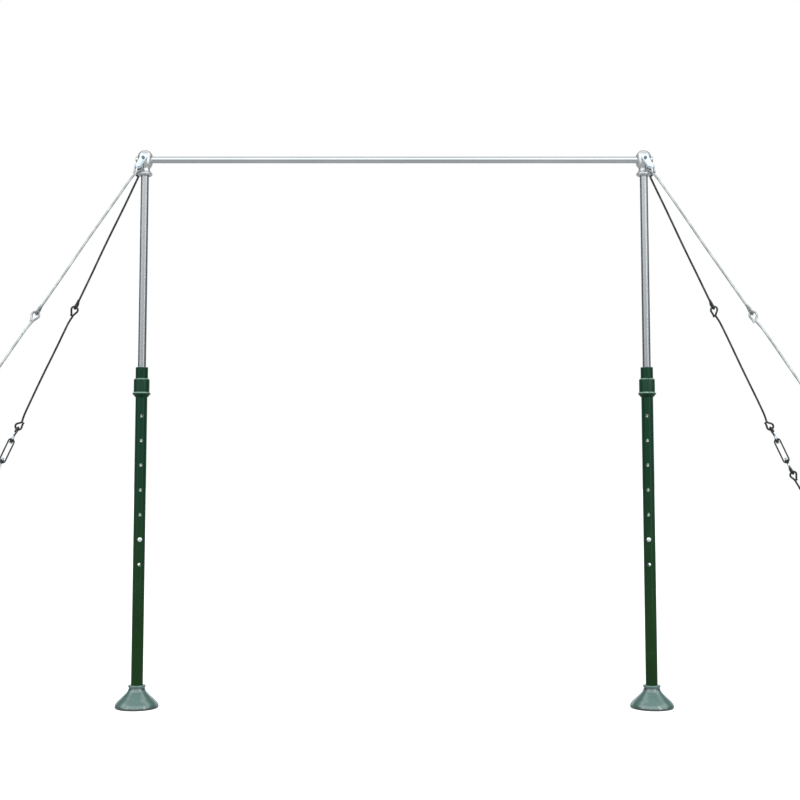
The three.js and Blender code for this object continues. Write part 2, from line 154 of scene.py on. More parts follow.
class Material:
    """A Principled material; each method adds one layer of procedural detail."""

    def __init__(self, name, metallic=0.0, coat=0.0, coat_roughness=0.05, coat_ior=1.5, specular=0.5):
        self.made = bpy.data.materials.new(name)
        self.made.use_nodes = True
        self.tree = self.made.node_tree
        self.shader = self.tree.nodes["Principled BSDF"]
        self.shader.inputs["Metallic"].default_value = metallic
        self.shader.inputs["Coat Weight"].default_value = coat
        self.shader.inputs["Coat Roughness"].default_value = coat_roughness
        self.shader.inputs["Coat IOR"].default_value = coat_ior
        self.shader.inputs["Specular IOR Level"].default_value = specular
        self.coordinates = self.tree.nodes.new("ShaderNodeTexCoord").outputs["Object"]
        self.normal = None

    def node(self, kind, **values):
        """A shader node. Each value is for a property or an input; i0 and i1 are inputs by number."""
        made = self.tree.nodes.new("ShaderNode" + kind)
        for key, value in values.items():
            if hasattr(made, key):
                setattr(made, key, value)
                continue
            socket = made.inputs[int(key[1:])] if key[0] == "i" and key[1:].isdigit() else made.inputs[key]
            if isinstance(value, bpy.types.NodeSocket):
                self.tree.links.new(value, socket)
            else:
                socket.default_value = value
        return made

    def stretched(self, scale):
        return self.node("Mapping", Vector=self.coordinates, Scale=scale).outputs["Vector"]

    def noise(self, scale, detail=3.0, stretch=(1, 1, 1)):
        where = self.stretched(stretch)
        made = self.node("TexNoise", Vector=where, Scale=scale, Detail=detail, Roughness=0.55)
        return made.outputs["Fac"]

    def cells(self, scale, stretch):
        return self.node("TexVoronoi", Vector=self.stretched(stretch), Scale=scale).outputs["Color"]

    def level(self, value, low, high, to_low=0.0, to_high=1.0):
        made = self.node("MapRange", Value=value)
        limits = {"From Min": low, "From Max": high, "To Min": to_low, "To Max": to_high}
        for key, number in limits.items():
            made.inputs[key].default_value = number
        return made.outputs["Result"]

    def height(self, low, high):
        """0 at low and 1 at high, in metres up the object. With low above high it falls instead."""
        split = self.node("SeparateXYZ", Vector=self.coordinates)
        return self.level(split.outputs["Z"], low, high)

    def facing_up(self, low, high):
        """Where the painted highlight on upward faces goes: 0 on steep faces, 1 on level ones."""
        normal = self.node("TexCoord").outputs["Normal"]
        return self.level(self.node("SeparateXYZ", Vector=normal).outputs["Z"], low, high)

    def edges(self, radius):
        """1 along edges that are sharper than radius, in metres."""
        eased = self.node("Bevel", samples=6, Radius=radius).outputs["Normal"]
        plain = self.node("NewGeometry").outputs["Normal"]
        agree = self.node("VectorMath", operation="DOT_PRODUCT", i0=eased, i1=plain).outputs["Value"]
        return self.level(agree, 0.97, 0.86)

    def product(self, a, b):
        return self.node("Math", operation="MULTIPLY", i0=a, i1=b).outputs[0]

    def blend(self, factor, a, b):
        made = self.node("Mix", data_type="RGBA")
        for index, value in ((0, factor), (6, a), (7, b)):
            if isinstance(value, bpy.types.NodeSocket):
                self.tree.links.new(value, made.inputs[index])
            else:
                made.inputs[index].default_value = value if index == 0 else (*value, 1)
        return made.outputs[2]

    def colour(self, value):
        self.tree.links.new(value, self.shader.inputs["Base Color"])

    def roughness(self, value):
        self.tree.links.new(value, self.shader.inputs["Roughness"])

    def bump(self, value, depth):
        """Depth is in metres. A second call adds to the first."""
        made = self.node("Bump", Height=value, Distance=depth, Strength=1.0)
        if self.normal is not None:
            self.tree.links.new(self.normal, made.inputs["Normal"])
        self.normal = made.outputs["Normal"]
        self.tree.links.new(self.normal, self.shader.inputs["Normal"])


def floor_material():
    made = bpy.data.materials.new("studio_floor")
    made.use_nodes = True
    tree = made.node_tree
    tree.nodes.clear()
    out = tree.nodes.new("ShaderNodeOutputMaterial")
    both = tree.nodes.new("ShaderNodeAddShader")
    matt = tree.nodes.new("ShaderNodeBsdfDiffuse")
    matt.inputs["Color"].default_value = (FLOOR_GREY, FLOOR_GREY, FLOOR_GREY, 1)
    glow = tree.nodes.new("ShaderNodeEmission")
    path = tree.nodes.new("ShaderNodeLightPath")
    level = tree.nodes.new("ShaderNodeMath")
    level.operation = "MULTIPLY"
    level.inputs[1].default_value = FLOOR_GLOW
    tree.links.new(path.outputs["Is Camera Ray"], level.inputs[0])
    tree.links.new(level.outputs[0], glow.inputs["Strength"])
    tree.links.new(matt.outputs[0], both.inputs[0])
    tree.links.new(glow.outputs[0], both.inputs[1])
    tree.links.new(both.outputs[0], out.inputs["Surface"])
    return made


def green_paint(name, dark, light, upper=None):
    """upper is the tone that the paint fades to towards the top of the outer post."""
    m = Material(name, coat=0.16, coat_roughness=0.12, specular=0.1)
    mottle = m.noise(9.0, stretch=(1, 1, 0.4))
    base = m.blend(m.level(mottle, 0.35, 0.65), dark, light)
    if upper:
        base = m.blend(m.height(0.35, 1.3), base, upper)
    specks = m.level(m.noise(900.0, detail=2.0), 0.66, 0.72)
    chips = m.product(specks, m.level(m.noise(14.0), 0.55, 0.62))
    base = m.blend(chips, base, (0.11, 0.17, 0.13))
    # painted highlight: level ledges are painted a lighter green, in patches
    painted_ledge_highlight = m.product(m.facing_up(0.25, 0.6), m.level(m.noise(70.0), 0.3, 0.6, 0.45, 0.9))
    base = m.blend(painted_ledge_highlight, base, (0.34, 0.48, 0.40))
    worn_edges = m.product(m.edges(0.0011), m.level(m.noise(130.0), 0.42, 0.6))
    m.colour(m.blend(worn_edges, base, (0.30, 0.38, 0.33)))
    m.roughness(m.level(m.noise(60.0), 0.3, 0.7, 0.24, 0.38))
    m.bump(m.noise(420.0, detail=1.5), 0.00005)
    m.bump(m.noise(25.0, detail=1.0), 0.00025)
    return m.made


def foot_paint():
    m = Material("foot_paint", coat=1.0, coat_roughness=0.13, specular=0.4, coat_ior=1.9)
    mottle = m.level(m.noise(16.0), 0.35, 0.65)
    base = m.blend(mottle, (0.064, 0.146, 0.116), (0.086, 0.180, 0.150))
    scuffs = m.product(m.height(0.022, 0.004), m.level(m.noise(120.0, detail=5.0), 0.34, 0.52))
    base = m.blend(scuffs, base, (0.035, 0.05, 0.042))
    base = m.blend(m.height(0.009, 0.004), base, (0.022, 0.032, 0.027))
    # painted shade: a dark band just under the rolled lip
    painted_shade_under_lip = m.product(m.height(0.083, 0.087), m.height(0.0925, 0.0905))
    base = m.blend(painted_shade_under_lip, base, (0.016, 0.034, 0.028))
    specks = m.product(m.level(m.noise(700.0, detail=2.0), 0.67, 0.71), m.level(m.noise(20.0), 0.52, 0.6))
    base = m.blend(specks, base, (0.03, 0.07, 0.06))
    worn_edges = m.product(m.edges(0.0014), m.level(m.noise(110.0), 0.45, 0.62))
    m.colour(m.blend(worn_edges, base, (0.42, 0.5, 0.47)))
    m.roughness(m.level(m.noise(80.0), 0.3, 0.7, 0.16, 0.30))
    m.bump(m.noise(260.0, detail=2.0), 0.0001)
    m.bump(m.noise(45.0, detail=2.0), 0.0009)
    return m.made


def galvanised():
    m = Material("galvanised", metallic=1.0)
    spangle = m.node("SeparateColor", Color=m.cells(130.0, stretch=(1, 1, 0.55))).outputs[0]
    streaks = m.noise(55.0, detail=4.0, stretch=(1, 1, 0.03))
    tone = m.blend(spangle, (0.36, 0.365, 0.375), (0.39, 0.395, 0.40))
    tone = m.blend(m.level(streaks, 0.40, 0.75, 0.0, 0.5), tone, (0.46, 0.465, 0.465))
    painted_light_inside = m.product(m.height(1.42, 1.24), m.height(0.1, 0.2))  # painted light: where the outer post covers it, the metal is clean and painted brighter and greener, which shows through the holes
    m.colour(m.blend(painted_light_inside, tone, (0.68, 0.76, 0.71)))
    m.roughness(m.level(spangle, 0.0, 1.0, 0.26, 0.29))
    m.bump(m.noise(300.0, detail=2.0), 0.000005)
    m.bump(streaks, 0.00003)
    return m.made


def bar_steel():
    m = Material("bar_steel", metallic=1.0)
    lines = m.noise(900.0, detail=3.0, stretch=(0.02, 1, 1))
    smudges = m.noise(5.0, detail=4.0, stretch=(0.4, 1, 1))
    m.colour(m.blend(m.level(smudges, 0.35, 0.7), (0.66, 0.68, 0.68), (0.75, 0.765, 0.76)))
    m.roughness(m.level(m.product(smudges, lines), 0.15, 0.4, 0.10, 0.16))
    m.bump(lines, 0.000001)
    return m.made


def cast_silver():
    m = Material("cast_silver", metallic=0.85, coat=0.3, coat_roughness=0.2)
    blotch = m.level(m.noise(38.0, detail=4.0), 0.38, 0.66)
    base = m.blend(blotch, (0.67, 0.66, 0.65), (0.78, 0.775, 0.77))
    pits = m.level(m.noise(420.0, detail=2.0), 0.66, 0.76)
    base = m.blend(pits, base, (0.52, 0.50, 0.48))
    worn_edges = m.product(m.edges(0.0012), m.level(m.noise(120.0), 0.4, 0.6))
    m.colour(m.blend(worn_edges, base, (0.86, 0.86, 0.85)))
    m.roughness(m.level(blotch, 0.0, 1.0, 0.36, 0.27))
    m.bump(m.noise(520.0, detail=2.0), 0.00003)
    m.bump(m.noise(60.0, detail=1.5), 0.0003)
    return m.made


def zinc(name, dark, light):
    m = Material(name, metallic=1.0)
    clouds = m.level(m.noise(45.0, detail=4.0), 0.36, 0.66)
    m.colour(m.blend(clouds, dark, light))
    scratches = m.noise(260.0, detail=4.0, stretch=(1, 1, 0.08))
    m.roughness(m.level(m.noise(90.0), 0.3, 0.7, 0.22, 0.38))
    m.bump(scratches, 0.00005)
    return m.made


def rod_steel(name, dark, light, rough):
    m = Material(name, metallic=1.0)
    drawn = m.noise(400.0, detail=3.0, stretch=(1, 1, 0.1))
    stains = m.level(m.noise(28.0, detail=5.0), 0.42, 0.68)
    m.colour(m.blend(stains, dark, light))
    m.roughness(m.level(stains, 0.0, 1.0, rough, rough + 0.15))
    m.bump(drawn, 0.000006)
    m.bump(m.noise(60.0, detail=1.0), 0.00005)
    return m.made


def bare_steel_painted_light():
    m = Material("bare_steel_painted_light", metallic=1.0)
    stains = m.level(m.noise(90.0, detail=4.0), 0.5, 0.68)
    # painted light: the bare steel in the post's holes is painted near-white and greenish, so that the
    # holes show bright; the darker stains are real
    m.colour(m.blend(stains, (0.84, 0.94, 0.88), (0.58, 0.64, 0.58)))
    m.roughness(m.level(stains, 0.0, 1.0, 0.34, 0.62))
    m.bump(m.noise(400.0), 0.00005)
    return m.made


def blued_steel():
    m = Material("blued_steel", metallic=1.0)
    worn = m.level(m.noise(120.0, detail=4.0), 0.45, 0.7)
    base = m.blend(worn, (0.12, 0.155, 0.195), (0.24, 0.285, 0.32))
    # painted highlight: the bolt's edges are painted lighter all along
    m.colour(m.blend(m.edges(0.0007), base, (0.42, 0.47, 0.52)))
    m.roughness(m.level(worn, 0.0, 1.0, 0.34, 0.48))
    m.bump(m.noise(300.0), 0.00004)
    return m.made


def nylon():
    m = Material("black_nylon")
    m.colour(m.blend(m.noise(60.0), (0.012, 0.013, 0.012), (0.022, 0.023, 0.022)))
    m.roughness(m.level(m.noise(200.0), 0.3, 0.7, 0.5, 0.65))
    m.bump(m.noise(500.0), 0.00006)
    return m.made


MATERIALS = {
    "post_paint": green_paint("post_paint", (0.007, 0.036, 0.006), (0.012, 0.048, 0.010),
                              upper=(0.005, 0.042, 0.019)),
    "collar_paint": green_paint("collar_paint", (0.003, 0.038, 0.017), (0.005, 0.049, 0.023)),
    "foot_paint": foot_paint(),
    "galvanised_steel": galvanised(),
    "bar_steel": bar_steel(),
    "cast_head": cast_silver(),
    "zinc_plate": zinc("zinc_plate", (0.60, 0.70, 0.80), (0.82, 0.85, 0.86)),
    "bright_zinc": zinc("bright_zinc", (0.86, 0.95, 0.88), (0.95, 0.98, 0.95)),
    # painted light and shade: one rod steel, as a lit copy for the front guys and a shaded copy for the
    # rear guys
    "bright_rod": rod_steel("bright_rod", (0.36, 0.375, 0.375), (0.62, 0.635, 0.63), 0.18),
    "dark_rod": rod_steel("dark_rod", (0.062, 0.065, 0.067), (0.15, 0.155, 0.155), 0.30),
    "nylon": nylon(),
    "bare_steel_painted_light": bare_steel_painted_light(),
    "blued_steel": blued_steel(),
}
studio()

# ---- Mesh code: everything is built in millimetres, in the piece's own frame ----

SHARP_ANGLE = math.radians(32)


def turn_to(axis):
    """Turns +Z to axis."""
    return Vector((0, 0, 1)).rotation_difference(Vector(axis)).to_matrix()


def angles(sides):
    return [2 * math.pi * k / sides for k in range(sides)]


def around(angle, radius, height):
    return Vector((radius * math.cos(angle), radius * math.sin(angle), height))


def add_lathe(bm, outline, centre=(0, 0, 0), axis=(0, 0, 1), sides=96):
    """Turns a closed outline of (radius, height) points about a line through centre."""
    turn = turn_to(axis)
    centre = Vector(centre)
    rings = []
    for radius, height in outline:
        count = sides if radius > 1e-6 else 1
        ring = [centre + turn @ around(angle, radius, height) for angle in angles(sides)[:count]]
        rings.append([bm.verts.new(point) for point in ring])
    add_walls(bm, rings + rings[:1])
    return bm


def add_walls(bm, rings):
    """Joins each ring of vertices to the next; a ring of one vertex is a point."""
    for low, high in zip(rings, rings[1:]):
        count = max(len(low), len(high))
        if count == 1:
            continue
        for k in range(count):
            n = (k + 1) % count
            if len(low) == 1:
                bm.faces.new((low[0], high[n], high[k]))
            elif len(high) == 1:
                bm.faces.new((low[k], low[n], high[0]))
            else:
                bm.faces.new((low[k], low[n], high[n], high[k]))


def add_ends(bm, rings):
    bm.faces.new(rings[0][::-1])
    bm.faces.new(rings[-1])
    return bm


def add_sweep(bm, points, radius, sides=18, taper=0.0):
    """A round rod along the points. Its ends are chamfered, and taper thins its last few steps."""
    chamfer = min(1.2, radius * 0.3)
    taper_steps = 8
    start = (points[1] - points[0]).normalized() * chamfer
    end = (points[-1] - points[-2]).normalized() * chamfer
    path = [points[0], points[0] + start] + points[1:-1] + [points[-1] - end, points[-1]]
    tangent = (path[1] - path[0]).normalized()
    side = tangent.orthogonal().normalized()
    rings = []
    for i, point in enumerate(path):
        fresh = (path[min(i + 1, len(path) - 1)] - path[max(i - 1, 0)]).normalized()
        side.rotate(tangent.rotation_difference(fresh))
        tangent = fresh
        across = tangent.cross(side)
        here = radius - chamfer if i in (0, len(path) - 1) else radius
        here -= taper * max(0.0, 1 - (len(path) - 1 - i) / taper_steps)
        rings.append([
            bm.verts.new(point + (side * math.cos(angle) + across * math.sin(angle)) * here)
            for angle in angles(sides)
        ])
    add_walls(bm, rings)
    return add_ends(bm, rings)


def smooth_line(points, step):
    """A smooth line through the points, in steps of about the given length, and longer on a long run."""
    line = []
    for i in range(len(points) - 1):
        before = points[max(i - 1, 0)]
        here = points[i]
        there = points[i + 1]
        after = points[min(i + 2, len(points) - 1)]
        span = (there - here).length
        count = max(1, round(span / step)) if span < 12 * step else round(span / (6 * step))
        second = 2 * before - 5 * here + 4 * there - after
        third = 3 * here - before - 3 * there + after
        for k in range(count):
            t = k / count
            line.append(here + 0.5 * t * (there - before + (second * t + third * t * t)))
    return line + [points[-1]]


def add_prism(bm, outline, depth, bevel):
    """A plate whose outline lies in X and Z, centred on Y, with its edges rounded off."""
    middle = sum(outline, Vector((0, 0))) / len(outline)
    rings = []
    offsets = []
    for angle in (0, math.pi / 4, math.pi / 2):
        offsets.append((bevel * (1 - math.sin(angle)), bevel * (1 - math.cos(angle)) - depth / 2))
    for inset, y in offsets + [(inset, -y) for inset, y in reversed(offsets)]:
        ring = []
        for i, point in enumerate(outline):
            along = (outline[(i + 1) % len(outline)] - outline[i - 1]).normalized()
            normal = Vector((along.y, -along.x))
            if normal.dot(point - middle) < 0:
                normal.negate()
            inner = point - normal * inset
            ring.append(bm.verts.new((inner.x, y, inner.y)))
        rings.append(ring)
    add_walls(bm, rings)
    return add_ends(bm, rings)


def arc(centre, radius, start, end, count):
    """Points on an arc, from start to end in degrees."""
    return [
        Vector((centre[0] + radius * math.cos(angle), centre[1] + radius * math.sin(angle)))
        for angle in (math.radians(start + (end - start) * k / count) for k in range(count + 1))
    ]


def bezier(a, b, c, d, count):
    a, b, c, d = map(Vector, (a, b, c, d))
    return [
        a * (1 - t) ** 3 + b * 3 * t * (1 - t) ** 2 + c * 3 * t * t * (1 - t) + d * t ** 3
        for t in (k / count for k in range(count + 1))
    ]


def add_hexagon(bm, centre, axis, flats, thickness):
    """A hexagonal head that stands on centre, along axis, with its outer corners turned off."""
    turn = turn_to(axis)
    reach = flats / 2
    columns = []
    for angle in angles(60):
        corner = reach / math.cos((angle % (math.pi / 3)) - math.pi / 6)
        cut = (corner - reach) * 0.6
        seat, base = (reach * 0.96, 0), (corner, 0.4)
        shoulder, face = (corner, thickness - 0.3 - cut), (reach * 0.94, thickness)
        columns.append([
            Vector(centre) + turn @ around(angle, radius, height)
            for radius, height in (seat, base, shoulder, face)
        ])
    rings = [[bm.verts.new(point) for point in ring] for ring in zip(*columns)]
    add_walls(bm, rings)
    return add_ends(bm, rings)


def add_thread(bm, axis, radius, start, end, pitch=1.75, depth=0.9):
    """A screw with one helical thread, from start to end along axis, which fades out at both ends."""
    turn = turn_to(axis)
    sides = 24
    rings_per_turn = 6
    count = round((end - start) / pitch * rings_per_turn)
    rings = []
    for i in range(count + 1):
        height = start + (end - start) * i / count
        fade = max(0.0, min(1.0, (height - start) / 1.2, (end - height) / 1.2))
        ring = []
        for k, angle in enumerate(angles(sides)):
            crest = abs(2 * ((height / pitch - k / sides) % 1.0) - 1)
            here = radius - depth * (1 - crest * fade)
            ring.append(bm.verts.new(turn @ around(angle, here, height)))
        rings.append(ring)
    add_walls(bm, rings)
    return add_ends(bm, rings)


def as_object(bm):
    bmesh.ops.recalc_face_normals(bm, faces=bm.faces)
    mesh = bpy.data.meshes.new("work")
    bm.to_mesh(mesh)
    bm.free()
    made = bpy.data.objects.new("work", mesh)
    bpy.context.scene.collection.objects.link(made)
    return made


def modified(bm, *modifiers):
    """Applies modifiers, each a (kind, settings) pair. An object among the settings is then removed."""
    piece = as_object(bm)
    tools = []
    for kind, settings in modifiers:
        modifier = piece.modifiers.new(kind, kind)
        for key, value in settings.items():
            setattr(modifier, key, value)
        if "object" in settings:
            tools.append(settings["object"])
    graph = bpy.context.evaluated_depsgraph_get()
    mesh = bpy.data.meshes.new_from_object(piece.evaluated_get(graph))
    out = bmesh.new()
    out.from_mesh(mesh)
    bpy.data.meshes.remove(mesh)
    for used in [piece] + tools:
        data = used.data
        bpy.data.objects.remove(used)
        bpy.data.meshes.remove(data)
    return out


def boolean(bm, operation, *tools):
    return modified(bm, *[
        ("BOOLEAN", {"operation": operation, "solver": "EXACT", "object": as_object(tool)})
        for tool in tools
    ])


def rod(radius, start, end, axis=(0, 1, 0), centre=(0, 0, 0)):
    """A plain round cutter or shank."""
    outline = [(0, start), (radius, start), (radius, end), (0, end)]
    return add_lathe(bmesh.new(), outline, centre, axis, 48)


def fused(bm, voxel, smooth):
    """Melts the shells of a piece into one skin with small fillets, like a casting or forging."""
    return modified(
        bm,
        ("REMESH", {"mode": "VOXEL", "voxel_size": voxel, "adaptivity": 0.0}),
        ("SMOOTH", {"factor": 0.5, "iterations": smooth}),
    )


def make(name, bm, slot, body, nodes, place, finish=None, other=None):
    """Puts a piece in the scene. other is a (test, finish) pair, for the faces of another finish."""
    bmesh.ops.recalc_face_normals(bm, faces=bm.faces)
    if other:
        for face in bm.faces:
            face.material_index = 1 if other[0](face.calc_center_median()) else 0
    bmesh.ops.transform(bm, matrix=place @ Matrix.Scale(MM, 4), verts=bm.verts)
    mesh = bpy.data.meshes.new(name)
    bm.to_mesh(mesh)
    bm.free()
    mesh.shade_smooth()
    mesh.set_sharp_from_angle(angle=SHARP_ANGLE)
    mesh.materials.append(MATERIALS[finish or slot])
    if other:
        mesh.materials.append(MATERIALS[other[1]])
    piece = bpy.data.objects.new(name, mesh)
    bpy.context.scene.collection.objects.link(piece)
    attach(piece, body)
    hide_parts(*nodes)


# ---- Places, from the frame, in millimetres ----


def low_corner(node):
    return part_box(node)[0] / MM


def high_corner(node):
    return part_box(node)[1] / MM


def body_of(node):
    return next(body for body, nodes in frame["record"]["behaviour"]["bodies"].items() if node in nodes)


JOINTS = {joint["name"]: joint for joint in frame["joints"]}
BAR_HEIGHT = (low_corner("bar").z + high_corner("bar").z) / 2
BAR_RADIUS = (high_corner("bar").z - low_corner("bar").z) / 2
POST_X = (high_corner("right_foot").x + low_corner("right_foot").x) / 2
FOOT_HEIGHT = high_corner("left_foot").z
FIT = 0.35
OUTER_RADIUS = 27.5
OUTER_WALL = 3.2
INNER_RADIUS = 19.0
INNER_WALL = 2.5
HOLE_TURN = math.radians(15)  # from the front towards the middle
HOLE_PITCH = 116.0
HOLE_RADIUS = 6.6
HOLES_BELOW_PIN = 1
HOLES_ABOVE_PIN = 5
PIN_RADIUS = 6.0
PIN_FLATS = 19.0
PIN_HEAD = 10.0
PIN_HEIGHT = (low_corner("left_height_pin").z + high_corner("left_height_pin").z) / 2
HEAD_BOTTOM = low_corner("left_head").z
HEAD_RADIUS = 37.0
SOCKET_DEPTH = 38.0
TRUNNION = 45.0
BOLT_RADIUS = 5.0
BOLT_FLATS = 15.0
BORE_FLARE = 22.0  # how far the bar's cutter widens past the head, which eases the bore's edges
PLATE_THICKNESS = 6.0
PLATE_LENGTH = 46.0
PLATE_OUTER = TRUNNION + FIT + PLATE_THICKNESS
EYE_OFFSET = 36.0
EYE_RADIUS = 16.5
ROD_RADIUS = 5.0
EYE_GAP = 0.6
EYE_PITCH = 2 * EYE_RADIUS - 2 * ROD_RADIUS - EYE_GAP
NECK = 28.5  # from the middle of an eye to where its rod closes on the shank
EYE_START = -35.4  # degrees round the eye, where the neck ends
SHANK_RADIUS = 6.0
TURNBUCKLE_BODY = 146.0
TURNBUCKLE_WIDTH = 38.0
TURNBUCKLE_SPAN = 244.0
BOSS_LENGTH = 21.0
SCREW_END = 45.0
DRAW_ROOM = 4.0  # taken off the eye screw's neck, so that it clears the body when drawn in
MIDDLE_ROD_LENGTH = 680.0
UPPER_ROD_LENGTH = {"front": 859.0, "rear": 752.0}
LUG_HOLE_HEIGHT = 34.0
LUG_HOLE_RADIUS = 12.0
LUG_RADIUS = 22.0
LUG_HALF_WIDTH = 30.0
LUG_THICKNESS = 7.0
LUG_GAP = 1.4
ANCHOR_SIDE = 110.0
ANCHOR_THICKNESS = 8.0
ANCHOR_CORNER = 8.0
ANCHOR_HOLE_SPACING = 76.0
ANCHOR_HOLE_RADIUS = 5.5

# ---- Posts ----


def vectors(*pairs):
    return [Vector(pair) for pair in pairs]


def tube_outline(inner, outer, bottom, top):
    ease = 0.7
    return [
        (inner, bottom + ease), (inner + ease, bottom), (outer - ease, bottom), (outer, bottom + ease),
        (outer, top - ease), (outer - ease, top), (inner + ease, top), (inner, top - ease),
    ]


def foot():
    bore = OUTER_RADIUS + FIT
    lip = FOOT_HEIGHT - 6.5
    outline = vectors((88, 0), (94, 0))
    outline += bezier((96, 0), (100, 0.4), (101, 3), (101, 8), 6)
    outline += bezier((100.8, 9), (98, 27), (80, 38), (66, 52), 18)[1:]
    outline += bezier((66, 52), (53, 65), (40.5, 74), (37.3, 91), 18)[1:]
    outline += arc((35.4, lip + 0.5), 5.6, -70, 88, 12)  # rolled lip
    outline += vectors((bore + 1, FOOT_HEIGHT), (bore, FOOT_HEIGHT - 1), (bore, 10), (20, 10))
    outline += vectors((20, 3), (36, 3), (36, 62))
    outline += bezier((36, 62), (50, 56), (86, 36), (90, 12), 14)[1:]
    return add_lathe(bmesh.new(), outline, sides=128)


def outer_post(node):
    bottom, top = low_corner(node).z, high_corner(node).z
    outline = tube_outline(OUTER_RADIUS - OUTER_WALL, OUTER_RADIUS, bottom, top)
    bm = add_lathe(bmesh.new(), outline, sides=96)
    wide = HOLE_RADIUS + 14.2
    cutter = [(0, -40), (wide, -40), (HOLE_RADIUS, -26.2), (HOLE_RADIUS, 26.2), (wide, 40), (0, 40)]
    holes = []
    for step in range(-HOLES_BELOW_PIN, HOLES_ABOVE_PIN + 1):
        centre = (0, 0, PIN_HEIGHT + step * HOLE_PITCH)
        holes.append(add_lathe(bmesh.new(), cutter, centre, (0, 1, 0), 40))
    return boolean(bm, "DIFFERENCE", *holes)


def in_a_hole(point):
    radius = math.hypot(point.x, point.y)
    return OUTER_RADIUS - OUTER_WALL + 0.05 < radius < OUTER_RADIUS - 0.06


def collar(node):
    bore = OUTER_RADIUS + FIT
    bottom, top = low_corner(node).z, high_corner(node).z
    outline = vectors((bore, bottom), (29, bottom), (30.5, bottom + 0.6), (40.6, bottom + 13.2))
    outline += arc((40.8, bottom + 16.2), 2.2, -48, 42, 6)
    outline += vectors((37.9, bottom + 22.6), (37.2, bottom + 24), (37, bottom + 26), (37, top - 6))
    outline += vectors((36.7, top - 5), (33.2, top - 0.6), (32, top), (bore, top))
    return add_lathe(bmesh.new(), outline, sides=112)


def guide_sleeve(node):
    bottom, top = low_corner(node).z, high_corner(node).z
    bore = INNER_RADIUS + 0.6
    spigot = OUTER_RADIUS - OUTER_WALL - FIT
    shoulder = bottom + 40
    outline = vectors((bore, bottom), (spigot - 1, bottom), (spigot, bottom + 1), (spigot, shoulder))
    outline += vectors((28.4, shoulder), (29, shoulder + 0.6), (29, top - 3.4))
    outline += arc((26.4, top - 2.6), 2.6, 0, 90, 6)
    outline += vectors((24.6, top), (24, top - 0.7), (24, top - 7))
    outline += vectors((bore + 0.6, top - 7), (bore, top - 7.6))
    return add_lathe(bmesh.new(), outline, sides=96)


def inner_post(node):
    bottom, top = low_corner(node).z, high_corner(node).z
    outline = tube_outline(INNER_RADIUS - INNER_WALL, INNER_RADIUS, bottom, top)
    return add_lathe(bmesh.new(), outline, sides=96)


def glide_plug(node):
    bottom, top = low_corner(node).z, high_corner(node).z
    flange = OUTER_RADIUS - OUTER_WALL - 0.6
    flange_top = bottom + 6
    spigot = INNER_RADIUS - INNER_WALL - FIT
    outline = [(0, bottom), (flange - 1, bottom), (flange, bottom + 1), (flange, flange_top - 1)]
    outline += [(flange - 1, flange_top), (spigot, flange_top), (spigot, top - 2)]
    outline += [(spigot - 2, top), (0, top)]
    return add_lathe(bmesh.new(), outline, sides=72)


def height_pin():
    seat = -OUTER_RADIUS - 1
    bm = add_hexagon(bmesh.new(), (0, seat, 0), (0, -1, 0), PIN_FLATS, PIN_HEAD)
    face = (0, seat - PIN_HEAD, 0)
    dimple = add_lathe(bmesh.new(), [(0, -3), (3.2, 1), (0, 1)], face, (0, -1, 0), 24)
    bm = boolean(bm, "DIFFERENCE", dimple)
    tip = OUTER_RADIUS + 14
    shank = [(0, seat - 1), (PIN_RADIUS, seat - 1), (PIN_RADIUS, tip - 2)]
    shank += arc((PIN_RADIUS - 2.4, tip - 2.4), 2.4, 10, 90, 5) + [(0, tip)]
    bm = boolean(bm, "UNION", add_lathe(bmesh.new(), shank, axis=(0, 1, 0), sides=40))
    root, rim = PIN_RADIUS - 0.8, PIN_RADIUS + 3
    groove = [(root, tip - 7.4), (rim, tip - 7.4), (rim, tip - 5.8), (root, tip - 5.8)]
    return boolean(bm, "DIFFERENCE", add_lathe(bmesh.new(), groove, axis=(0, 1, 0), sides=40))


# ---- Heads and bar ----


def head():
    """Heights are from the bar's axis."""
    bottom = HEAD_BOTTOM - BAR_HEIGHT
    dome = 10.0
    outline = vectors((0, bottom), (31, bottom))
    outline += arc((29.9, bottom + 8.2), 6.0, -72, 62, 8)
    outline += bezier((31.4, bottom + 15.5), (26, bottom + 19), (24, bottom + 24), (24.4, bottom + 33), 8)
    outline += bezier((24.6, bottom + 34), (25, bottom + 42),
                      (30, bottom + 44), (33.4, bottom + 50), 8)[1:]
    outline += bezier((33.6, bottom + 50.4), (36.4, bottom + 58),
                      (HEAD_RADIUS, -14), (HEAD_RADIUS, 0), 8)[1:]
    outline += arc((0, dome), HEAD_RADIUS, 0, 90, 24)
    bm = add_lathe(bmesh.new(), outline, sides=96)
    end = TRUNNION
    boss = [(0, -end), (14.6, -end), (16, -end + 1.4), (16, end - 1.4), (14.6, end), (0, end)]
    add_lathe(bm, boss, axis=(0, 1, 0), sides=64)
    bm = fused(bm, 1.0, 4)
    bore, wide, half = BAR_RADIUS + FIT, BAR_RADIUS + FIT + BORE_FLARE, HEAD_RADIUS - 1
    eased = [(0, -60), (wide, -60), (bore, -half), (bore, half), (wide, 60), (0, 60)]
    return boolean(
        bm, "DIFFERENCE",
        rod(INNER_RADIUS + FIT, bottom - 5, bottom + SOCKET_DEPTH, (0, 0, 1)),
        add_lathe(bmesh.new(), eased, axis=(1, 0, 0), sides=72),
        rod(BOLT_RADIUS + FIT, -60, 60),
    )


